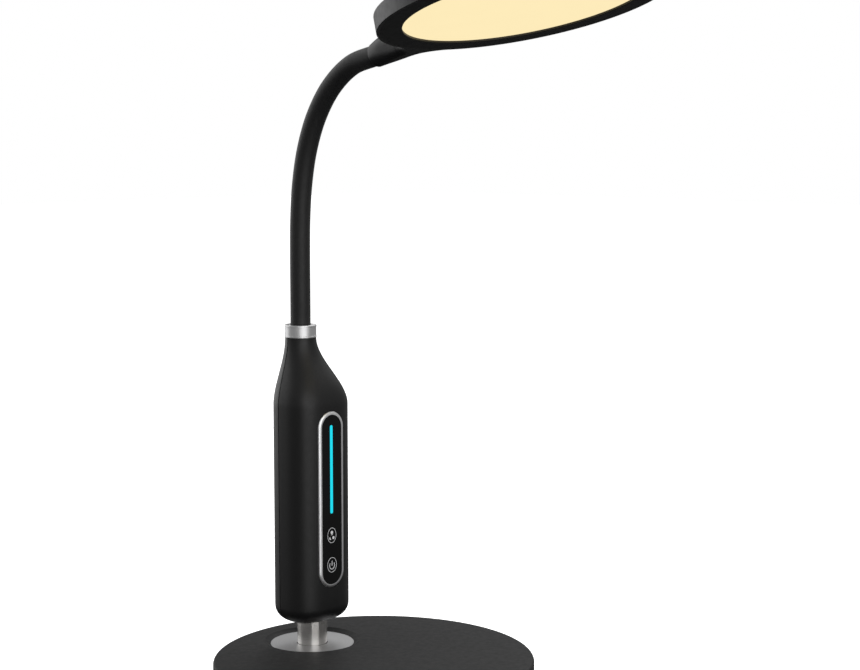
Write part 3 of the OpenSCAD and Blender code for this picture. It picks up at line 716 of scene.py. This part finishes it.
def pill(half_w, half_h):
    """The outline of an upright bar with round ends."""
    straight = half_h - half_w
    upper = arc((0, straight), half_w, 0, 180, PILL_STEPS)
    return upper + arc((0, -straight), half_w, 180, 360, PILL_STEPS)


def panel_ring(inset, back):
    """An outline of the panel, pulled in by an inset, at a depth behind the panel's front."""
    outline = pill(PANEL_HALF_W - inset, PANEL_HALF_H - inset)
    return [Vector((x, PANEL_Y + back, PANEL_Z + z)) for x, z in outline]


def add_shells():
    """The handle's halves: a front with the panel's opening, and a rear with four screw holes."""
    opening_start, opening_end, reach = -5.0, 6.0, 1.5
    front = add_object("front_shell_skin", shell_skin(FRONT))
    opening = [panel_ring(-SEAT_GAP, back) for back in (opening_start, opening_end)]
    cut(front, loft(opening, caps=True))
    finish_piece(front, "front_plastic", "handle", ["front_shell"])
    rear = add_object("rear_shell_skin", shell_skin(REAR))
    seat_y, wall_y = POST_Y + SHELL_SCREW_SEAT, REAR_BACK - HANDLE_WALL
    bosses, holes = [], []
    for x in (-SHELL_SCREW_X, SHELL_SCREW_X):
        for up in SHELL_SCREW_UPS:
            z = HANDLE_LOW + up
            bosses.append(rod(SHELL_BOSS_R, (x, seat_y - reach, z), (x, wall_y - reach, z)))
            holes.append(rod(SHELL_SCREW_HOLE_R, (x, seat_y, z), (x, REAR_BACK + reach, z)))
    join(rear, combine(bosses))
    cut(rear, combine(holes))
    finish_piece(rear, "rear_plastic", "handle", ["rear_shell"])


def add_panel_rim():
    """A bright band that rises in a round from the shell to a narrow flat beside the lens."""
    crown, foot, flank, flat = 0.3, 1.4, 0.9, 0.25
    inner = RIM_W - SEAT_GAP
    round_w, round_h = inner - flat, flank + crown
    profile = [(0.0, foot)]
    profile += [(round_w * (1 - c), flank - round_h * s) for c, s in quarter_turn(step=6)]
    profile += [(inner, -crown), (inner, foot)]
    rings = [panel_ring(inset, back) for inset, back in profile]
    rim = add_object("panel_rim_skin", loft(rings, closed=True))
    finish_piece(rim, "rim_chrome", "handle", ["panel_rim"])


# Touch marks

MARK_RING_W = 0.24
MARK_SIGN_W = 0.4
MARK_STEM_W = 0.42
MARK_PROUD = 0.04
MODE_Z = 84.0
POWER_Z = 66.8


def mark_line(points, closed, width):
    """A flat printed line along points on the panel, with a thickness too small to feel."""
    corners = ((-1, -MARK_PROUD), (1, -MARK_PROUD), (1, MARK_PROUD), (-1, MARK_PROUD))
    rings = []
    count = len(points)
    for i, (x, z) in enumerate(points):
        before = points[i - 1] if closed or i else points[i]
        after = points[(i + 1) % count] if closed or i < count - 1 else points[i]
        along = Vector((after[0] - before[0], after[1] - before[1])).normalized()
        side = Vector((-along.y, along.x)) * width / 2
        ring = []
        for edge, back in corners:
            ring.append(Vector((x + edge * side.x, PANEL_Y + back, z + edge * side.y)))
        rings.append(ring)
    return loft(rings, closed=closed, caps=not closed)


def mark_ring(half_w, half_h, z):
    """A printed oval line."""
    outline = [(half_w * c, z + half_h * s) for c, s in full_turn(sides=48)]
    return mark_line(outline, True, MARK_RING_W)


def mark_plate(outline):
    """A flat printed patch inside an outline on the panel."""
    rings = []
    for back in (-MARK_PROUD, MARK_PROUD):
        rings.append([Vector((x, PANEL_Y + back, z)) for x, z in outline])
    return loft(rings, caps=True)


def mark_disc(middle, r):
    return mark_plate(arc(middle, r, 0, 360, steps=24)[:-1])


def mode_skins():
    """A ring round a bulb with its cap, a moon and a sun."""
    bulb_at, bulb_r = (0, MODE_Z + 1.7), 0.95
    cap_x, cap_top, cap_low = 0.7, MODE_Z + 0.5, MODE_Z + 0.15
    moon_at, moon_r, moon_start, moon_end = (-1.1, MODE_Z - 1.6), 0.9, 120, 300
    sun_at, sun_r = (1.15, MODE_Z - 1.5), 0.85
    return [
        mark_ring(half_w=3.2, half_h=4.3, z=MODE_Z),
        mark_disc(bulb_at, bulb_r),
        mark_plate([(-cap_x, cap_top), (cap_x, cap_top), (cap_x, cap_low), (-cap_x, cap_low)]),
        mark_plate(arc(moon_at, moon_r, moon_start, moon_end, steps=16)),
        mark_disc(sun_at, sun_r),
    ]


def power_skins():
    """A ring round an open loop with an upright stem."""
    loop_w, loop_h, loop_z = 1.85, 2.15, POWER_Z - 0.3
    loop_start, loop_end, loop_step = 140, 400, 10
    angles = range(loop_start, loop_end + 1, loop_step)
    loop = [(loop_w * c, loop_z + loop_h * s) for c, s in map(turn, angles)]
    stem = [(0, POWER_Z + up) for up in (-0.6, 0.9, 2.4)]
    return [
        mark_ring(half_w=3.4, half_h=4.25, z=POWER_Z),
        mark_line(loop, False, MARK_SIGN_W),
        mark_line(stem, False, MARK_STEM_W),
    ]


def add_touch_marks():
    """Two printed signs on the lens, with a faint painted glow."""
    for name, skins in (("mode_mark", mode_skins()), ("power_mark", power_skins())):
        mark = add_object(name, combine(skins))
        mark.data.materials.append(GLOWING_MARK_PRINT.material)
        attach(mark, "handle")


# Where the head lies and where the neck runs, in millimetres

HEAD_TURN = Matrix.Rotation(math.radians(-HEAD_TILT), 3, "X")
HEAD_UP = HEAD_TURN @ Vector((0, 0, 1))
HEAD_BACK = HEAD_TURN @ Vector((0, 1, 0))
HEAD_MIDDLE = (DIFFUSER_LOW + DIFFUSER_HIGH) / 2 - HEAD_UP * (WINDOW_DEPTH + DIFFUSER_T / 2)
HEAD_PLACE = Matrix.Translation(HEAD_MIDDLE * MM) @ HEAD_TURN.to_4x4()
NECK_JOINTS = [joint for name, joint in JOINTS.items() if name.startswith("neck_")]
NECK_FOOT = Vector((0, NECK_Y, COLLAR_HIGH.z))
NECK_END = HEAD_MIDDLE + HEAD_BACK * HEAD_REACH + HEAD_UP * SOCKET_R
NECK_KNOTS = [NECK_FOOT] + [Vector(joint["pos_m"]) / MM for joint in NECK_JOINTS] + [NECK_END]


# Neck

def add_collar():
    """A turned ring with a rounded lip at each end and a sunk top round the neck."""
    lip, lip_h, waist = 0.35, 1.1, 0.12
    crest_w, slope_w, sunk = 0.5, 0.8, 0.8
    r, low, top = COLLAR_HIGH.x, COLLAR_LOW.z, COLLAR_HIGH.z
    inner, edge = NECK_R + SEAT_GAP, r - lip
    profile = [(inner, low), (edge, low)]
    profile += arc((edge, low + lip), lip, -90, 0, steps=6)[1:]
    profile += [(r, low + lip_h), (r - waist, low + lip_h + waist)]
    profile += [(r - waist, top - lip_h - waist), (r, top - lip_h)]
    profile += arc((edge, top - lip), lip, 0, 90, steps=6)
    profile += [(edge - crest_w, top), (edge - slope_w, top - sunk), (inner, top - sunk)]
    collar = add_object("collar_skin", spin(profile, NECK_Y))
    finish_piece(collar, "collar_metal", "handle", ["collar"])


def neck_tangent(k):
    """Direction of the neck at a knot, as long as the way to the next one."""
    last = len(NECK_KNOTS) - 1
    if k == 0:
        return Vector((0, 0, 1)) * (NECK_KNOTS[1] - NECK_KNOTS[0]).length
    if k == last:
        return -HEAD_BACK * (NECK_KNOTS[last] - NECK_KNOTS[last - 1]).length
    return (NECK_KNOTS[k + 1] - NECK_KNOTS[k - 1]) / 2


def neck_point(s):
    """A point of the neck's smooth line and its direction, where s counts knots from the collar."""
    k = min(int(s), len(NECK_KNOTS) - 2)
    u = s - k
    a, b = NECK_KNOTS[k], NECK_KNOTS[k + 1]
    m, n = neck_tangent(k), neck_tangent(k + 1)
    point = (a * (1 + 2 * u) * (1 - u) ** 2 + m * u * (1 - u) ** 2
             + b * u * u * (3 - 2 * u) + n * u * u * (u - 1))
    slope = (a - b) * 6 * u * (u - 1) + m * (1 - u) * (1 - 3 * u) + n * u * (3 * u - 2)
    return point, slope.normalized()


def neck_ring(point, along):
    """A ring of the neck's skin, square to its line."""
    side = Vector((1, 0, 0))
    up = along.cross(side)
    return [point + (side * c + up * s) * NECK_R for c, s in full_turn(SMALL_SIDES)]


def neck_tube(start, end, extra_start=0.0, extra_end=0.0):
    """A stretch of the neck's skin between two places on its line, drawn out at its ends."""
    slice_len = (NECK_KNOTS[1] - NECK_KNOTS[0]).length
    steps = max(2, round((end - start) * slice_len / NECK_RING_STEP))
    stations = [neck_point(lerp(start, end, i / steps)) for i in range(steps + 1)]
    if extra_start:
        point, along = stations[0]
        stations.insert(0, (point - along * extra_start, along))
    if extra_end:
        point, along = stations[-1]
        stations.append((point + along * extra_end, along))
    return loft([neck_ring(point, along) for point, along in stations], caps=True)


def add_neck():
    """A smooth soft skin in pieces: its ends ride on handle and head, and the pieces round the hinges ride on no
    body.
    """
    collar_floor, into_socket = 1.0, 10.0
    into_collar = COLLAR_HIGH.z - COLLAR_LOW.z - collar_floor
    last = len(NECK_JOINTS)
    foot = add_object("neck_skin_1", neck_tube(0, 0.5, extra_start=into_collar))
    finish_piece(foot, "neck_rubber", "handle", ["neck_sleeve_1"])
    for k, joint in enumerate(NECK_JOINTS, 1):
        piece = add_object(f"neck_skin_{k + 1}", neck_tube(k - 0.5, k + 0.5))
        finish_piece(piece, "neck_rubber", nodes=[f"neck_sleeve_{k + 1}"])
        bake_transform(piece)
    tip_skin = neck_tube(last + 0.5, last + 1, extra_end=into_socket)
    tip = add_object(f"neck_skin_{last + 2}", tip_skin)
    finish_piece(tip, "neck_rubber", NECK_JOINTS[-1]["child"])


# Head, drawn in its own frame: the middle of its underside at the origin, and its back along +Y

def head_outline(inset, z):
    """The head in plan: its round edge, and fillets that narrow to the socket at the back."""
    r, fillet = HEAD_R - inset, SOCKET_FILLET + inset
    middle_x = SOCKET_SWELL_R - SEAT_GAP - inset + fillet
    middle_y = math.sqrt((r + fillet) ** 2 - middle_x ** 2)
    meet = math.degrees(math.atan2(middle_y, middle_x))
    right = arc((middle_x, middle_y), fillet, 180 + meet, 180, steps=24)
    left = [(-x, y) for x, y in right[::-1]]
    edge = arc((0, 0), r, 180 - meet, 360 + meet, ROUND_SIDES)[1:-1]
    return [Vector((x, y, z)) for x, y in right + left + edge]


def head_foot():
    """Rings round the head's lower edge: a fine bevel that grows to a round at the tail."""
    bevel, margin = 0.12, 0.25
    foot = head_outline(0.0, 0.0)
    inward = [b - a for a, b in zip(foot, head_outline(1.0, 0.0))]
    start, end = foot[0].y, max(p.y for p in foot)
    grow = [ease((p.y - start) / (end - start)) for p in foot]
    rounds = [lerp(bevel, TAIL_ROUND, t) for t in grow]
    inner = [p + d * (r + margin) for p, d, r in zip(foot, inward, rounds)]
    rings = [[p - Vector((0, margin * t, 0)) for p, t in zip(inner, grow)]]
    for c, s in quarter_turn(step=15):
        ring = []
        for p, d, r in zip(foot, inward, rounds):
            ring.append(p + d * r * (1 - s) + Vector((0, 0, r * (1 - c))))
        rings.append(ring)
    rings.append([p + Vector((0, 0, r + margin)) for p, r in zip(foot, rounds)])
    return rings


def socket_skin():
    """A round socket at the head's back: a mouth, a swell, and a taper with square lower corners."""
    mouth_round, taper_bow = 0.5, 0.4
    swell_steps, taper_steps = 12, 32
    mouth_y, swell_y = HEAD_REACH - mouth_round, HEAD_REACH - SOCKET_SWELL_AT
    flare_y = max(p.y for p in head_outline(0.0, 0.0))
    root_y, root_r = HEAD_R - SOCKET_ROOT_IN, HEAD_T / 2
    stations = []
    for c, s in quarter_turn(step=30)[::-1]:
        y, r = HEAD_REACH - mouth_round * (1 - s), SOCKET_R - mouth_round * (1 - c)
        stations.append((y, r, SOCKET_R))
    for i in range(1, swell_steps + 1):
        t = i / swell_steps
        r = lerp(SOCKET_R, SOCKET_SWELL_R, math.sin(t * math.pi / 2))
        stations.append((lerp(mouth_y, swell_y, t), r, r))
    for i in range(1, taper_steps + 1):
        t = i / taper_steps
        r = lerp(SOCKET_SWELL_R, root_r, t * t * (1 + taper_bow - taper_bow * t))
        stations.append((lerp(swell_y, root_y, t), r, r))
    rings = []
    for y, r, middle_z in stations:
        near = ease((mouth_y - y) / (mouth_y - flare_y))
        half_w = lerp(r, SOCKET_SWELL_R - SEAT_GAP, near) if y > flare_y else r
        corner = 2 / lerp(ROUND_POWER, SOCKET_POWER, near)
        ring = []
        for c, s in full_turn(SMALL_SIDES):
            bend = corner if s < 0 else 1
            z = SOCKET_LIFT + middle_z + r * signed_power(s, bend)
            ring.append(Vector((half_w * signed_power(c, bend), y, z)))
        rings.append(ring)
    return loft(rings, caps=True)


def add_head_housing():
    """A flat round shell, open below, with a socket for the neck and a hole for its screw."""
    top_ring_w, past = 1.0, 1.0
    screw_top = 3 * SOCKET_SWELL_R
    edge = arc((0, HEAD_T - HEAD_EDGE), HEAD_EDGE, 0, 90, steps=8)
    rings = head_foot() + [head_outline(HEAD_EDGE - x, z) for x, z in edge]
    plan = [p.normalized() for p in head_outline(0.0, 0.0)]
    top_r = HEAD_R - SOCKET_ROOT_IN
    for r in (top_r, top_r - top_ring_w, top_r / 2):
        rings.append([p * r + Vector((0, 0, HEAD_T)) for p in plan])
    rings.append([Vector((0, 0, HEAD_T))])
    cavity_r, cavity_z = HEAD_R - HEAD_WALL, HEAD_T - HEAD_TOP
    rim = [p * cavity_r for p in plan]
    cavity = [[Vector((p.x, p.y, z)) for p in rim] for z in (cavity_z, 0.0)]
    skin = loft([[Vector((0, 0, cavity_z))]] + cavity + rings)
    housing = add_object("head_housing_skin", skin, HEAD_PLACE)
    join(housing, socket_skin(), HEAD_PLACE)
    bore = [(0, HEAD_REACH + past, SOCKET_R), (0, HEAD_REACH - SOCKET_BORE, SOCKET_R)]
    cut(housing, rod(NECK_R + SEAT_GAP, *bore), HEAD_PLACE)
    screw = [(0, SET_SCREW_Y, SOCKET_R), (0, SET_SCREW_Y, screw_top)]
    cut(housing, rod(SET_SCREW_HOLE_R, *screw, sides=32), HEAD_PLACE)
    finish_piece(housing, "head_plastic", "head", ["head_housing"])


def add_head_bezel():
    """A flat ring round the diffuser, with a lip up into the housing."""
    bevel = 0.2
    r = HEAD_R - HEAD_WALL - SEAT_GAP
    lip_r, lip_z = r - BEZEL_LIP_W, WINDOW_DEPTH + BEZEL_LIP_H
    profile = [(WINDOW_R, bevel), (WINDOW_R + bevel, 0), (r, 0), (r, lip_z), (lip_r, lip_z)]
    profile += [(lip_r, WINDOW_DEPTH), (WINDOW_R, WINDOW_DEPTH)]
    bezel = add_object("head_bezel_skin", spin(profile), HEAD_PLACE)
    finish_piece(bezel, "bezel_plastic", "head", ["head_bezel"])


# Stage, light and camera, in metres and degrees

CAMERA_AT = Vector((-704.7, -739.6, 314.6)) * MM
CAMERA_TURN = -45.38
CAMERA_PITCH = 6.30
LENS_MM = 77.96
SENSOR_MM = 36.0
NEAR_CLIP = 0.01
LIT_POINT = Vector((0, 0.04, 0.18))
FLOOR_SIZE = 6.0


def add_floor():
    """A white floor that the camera sees and that throws no light on the lamp."""
    low, high = -FLOOR_SIZE, FLOOR_SIZE
    mesh = bpy.data.meshes.new("floor")
    corners = [(low, low, 0), (high, low, 0), (high, high, 0), (low, high, 0)]
    mesh.from_pydata(corners, [], [(0, 1, 2, 3)])
    obj = link_object("floor", mesh)
    shader = plastic("floor_paper", (0.9, 0.9, 0.9), 0.8, grain=2.0, relief=0.01, specular=0.1)
    shader.set("Emission Color", (1, 1, 1, 1))
    shader.set("Emission Strength", 1.0)
    mesh.materials.append(shader.material)
    obj.visible_diffuse = False
    obj.visible_glossy = False


def set_world(around, below):
    """White behind the lamp as the camera sees it, and for all other light a room, dim below."""
    fade_start, fade_end = -0.4, -0.14
    room = bpy.data.worlds.new("studio")
    room.use_nodes = True
    tree = room.node_tree
    tree.nodes.clear()
    path = tree.nodes.new("ShaderNodeLightPath")
    direction = tree.nodes.new("ShaderNodeTexCoord")
    height = tree.nodes.new("ShaderNodeSeparateXYZ")
    fade = tree.nodes.new("ShaderNodeMapRange")
    fade.inputs["From Min"].default_value = fade_start
    fade.inputs["From Max"].default_value = fade_end
    fade.inputs["To Min"].default_value = below
    fade.inputs["To Max"].default_value = around
    dim = tree.nodes.new("ShaderNodeBackground")
    white = tree.nodes.new("ShaderNodeBackground")
    white.inputs["Color"].default_value = (1, 1, 1, 1)
    mix = tree.nodes.new("ShaderNodeMixShader")
    out = tree.nodes.new("ShaderNodeOutputWorld")
    for output, socket in (
        (direction.outputs["Generated"], height.inputs["Vector"]),
        (height.outputs["Z"], fade.inputs["Value"]),
        (fade.outputs["Result"], dim.inputs["Strength"]),
        (path.outputs["Is Camera Ray"], mix.inputs["Fac"]),
        (dim.outputs["Background"], mix.inputs[1]),
        (white.outputs["Background"], mix.inputs[2]),
        (mix.outputs["Shader"], out.inputs["Surface"]),
    ):
        tree.links.new(output, socket)
    scene.world = room


def add_softbox(name, right, up, distance, width, height, radiance):
    """A soft light, right of the camera and up from level by angles, with brightness per area."""
    away = CAMERA_AT - LIT_POINT
    heading, lift = math.atan2(away.y, away.x) + math.radians(right), math.radians(up)
    level = math.cos(lift)
    out = Vector((math.cos(heading) * level, math.sin(heading) * level, math.sin(lift)))
    data = bpy.data.lights.new(name, "AREA")
    data.shape = "RECTANGLE"
    data.size = width
    data.size_y = height
    data.energy = radiance * math.pi * width * height
    light = link_object(name, data)
    light.location = LIT_POINT + out * distance
    light.rotation_euler = out.to_track_quat("Z", "Y").to_euler()
    light.visible_camera = False


def add_camera():
    """The camera at the photo's viewing angle."""
    data = bpy.data.cameras.new("camera")
    data.sensor_fit = "HORIZONTAL"
    data.sensor_width = SENSOR_MM
    data.lens = LENS_MM
    data.clip_start = NEAR_CLIP
    obj = link_object("camera", data)
    obj.location = CAMERA_AT
    obj.rotation_euler = (math.radians(90 - CAMERA_PITCH), 0, math.radians(CAMERA_TURN))
    scene.camera = obj


def add_studio():
    """The room, the floor and three soft lights."""
    scene.view_settings.view_transform = "Standard"
    set_world(around=0.42, below=0.03)
    add_floor()
    add_softbox("front_softbox", right=23, up=14, distance=1.3,
                width=1.35, height=1.6, radiance=1.4)
    add_softbox("left_softbox", right=-124, up=20, distance=1.2,
                width=1.3, height=1.4, radiance=0.95)
    add_softbox("top_softbox", right=149, up=48, distance=1.4,
                width=1.0, height=0.8, radiance=3.0)


paint_solids()
add_base_cover()
add_dish_plate()
add_post()
add_shells()
add_panel_rim()
add_touch_marks()
add_collar()
add_neck()
add_head_housing()
add_head_bezel()
add_studio()
add_camera()
